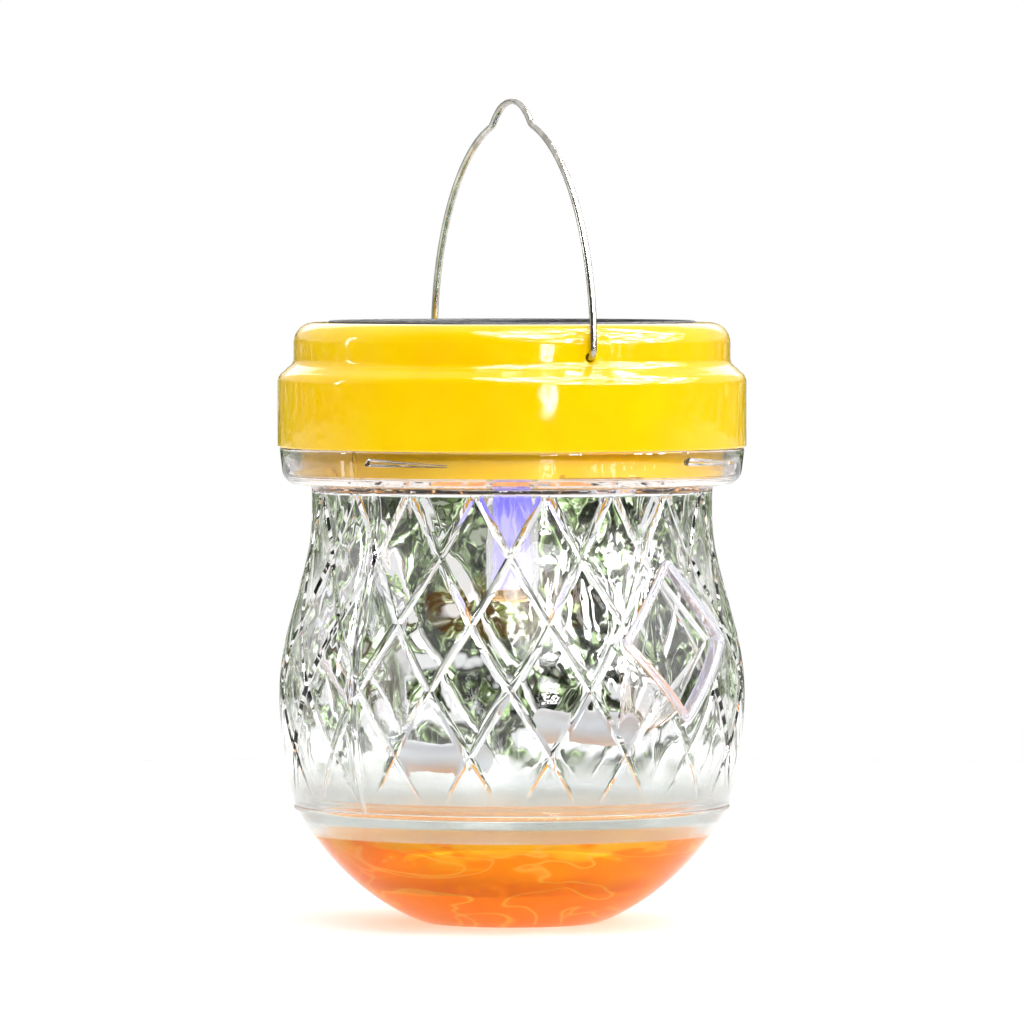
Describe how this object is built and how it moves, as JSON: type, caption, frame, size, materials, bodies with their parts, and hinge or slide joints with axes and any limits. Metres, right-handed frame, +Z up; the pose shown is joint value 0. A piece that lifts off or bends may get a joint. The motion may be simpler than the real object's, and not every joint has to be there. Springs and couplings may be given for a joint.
{
  "type": "wasp trap",
  "caption": "Hanging wasp trap: clear diamond cut jar with funnel entries and liquid bait, under a yellow twist lid that holds a solar lamp and a steel wire bail.",
  "frame": {"origin": "centre of the flat base, on the surface that the jar stands on", "axes": "+Z up along the jar's axis, -Y towards the entry on the front half shell"},
  "size_m": [0.105, 0.1066, 0.1847],
  "materials": {
    "clear_jar": "clear moulded plastic, diamond cut outside",
    "bait": "clear amber liquid",
    "clear_entry": "clear moulded plastic",
    "frosted_entry": "frosted translucent plastic",
    "seal_rubber": "soft pale silicone",
    "lid_yellow": "high gloss moulded plastic",
    "tray_yellow": "satin moulded plastic",
    "black_rubber": "soft black rubber",
    "board_green": "solder mask on glass fibre board",
    "solar_silicon": "dark blue silicon with fine silver lines",
    "panel_resin": "clear cast resin",
    "chip_black": "matt moulded epoxy",
    "screw_steel": "zinc plated",
    "led_lens": "clear violet epoxy",
    "clear_guide": "clear tube with a pink and violet glow",
    "violet_diffuser": "frosted violet plastic that glows",
    "amber_cap": "clear amber plastic",
    "battery_wrap": "shrink sleeve",
    "contact_metal": "nickel plated",
    "black_plastic": "matt moulded plastic",
    "knob_white": "satin moulded plastic",
    "wire_cover": "red and black insulation",
    "bail_steel": "drawn steel wire"
  },
  "bodies": {
    "jar": {"jar_half_front": "clear_jar", "jar_half_back": "clear_jar", "jar_bowl": "clear_jar", "bait_liquid": "bait", "entry_frame_front": "clear_entry", "entry_frame_back": "clear_entry", "entry_funnel_front": "clear_entry", "entry_funnel_back": "clear_entry", "entry_tunnel_front": "frosted_entry", "entry_tunnel_back": "frosted_entry"},
    "seal": {"lid_seal": "seal_rubber"},
    "lid": {"lid_shell": "lid_yellow", "panel_gasket": "black_rubber", "panel_board": "board_green", "solar_cells": "solar_silicon", "panel_cover": "panel_resin", "circuit_board": "board_green", "board_parts": "chip_black", "board_screws": "screw_steel", "uv_led": "led_lens", "light_guide": "clear_guide", "diffuser_rod": "violet_diffuser", "guide_cap": "amber_cap", "lid_tray": "tray_yellow", "tray_screws": "screw_steel", "battery": "battery_wrap", "contact_spring": "contact_metal", "contact_plate": "contact_metal", "battery_cover": "tray_yellow", "cover_screw": "screw_steel", "switch_housing": "black_plastic", "panel_wires": "wire_cover", "battery_wires": "wire_cover"},
    "switch": {"switch_knob": "knob_white"},
    "bail": {"bail_wire": "bail_steel"}
  },
  "joints": [
    {"name": "lid_lift", "type": "slide", "parent": "jar", "child": "seal", "axis": [0, 0, 1], "range_m": [0, 0.06]},
    {"name": "lid_turn", "type": "hinge", "parent": "seal", "child": "lid", "pos_m": [0, 0, 0.1072], "axis": [0, 0, 1], "range_deg": [-45, 0]},
    {"name": "bail_swing", "type": "hinge", "parent": "lid", "child": "bail", "pos_m": [0, 0, 0.1271], "axis": [-0.4509, -0.8926, 0], "range_deg": [-90, 90]},
    {"name": "switch_slide", "type": "slide", "parent": "lid", "child": "switch", "axis": [1, 0, 0], "range_m": [0, 0.003]}
  ]
}
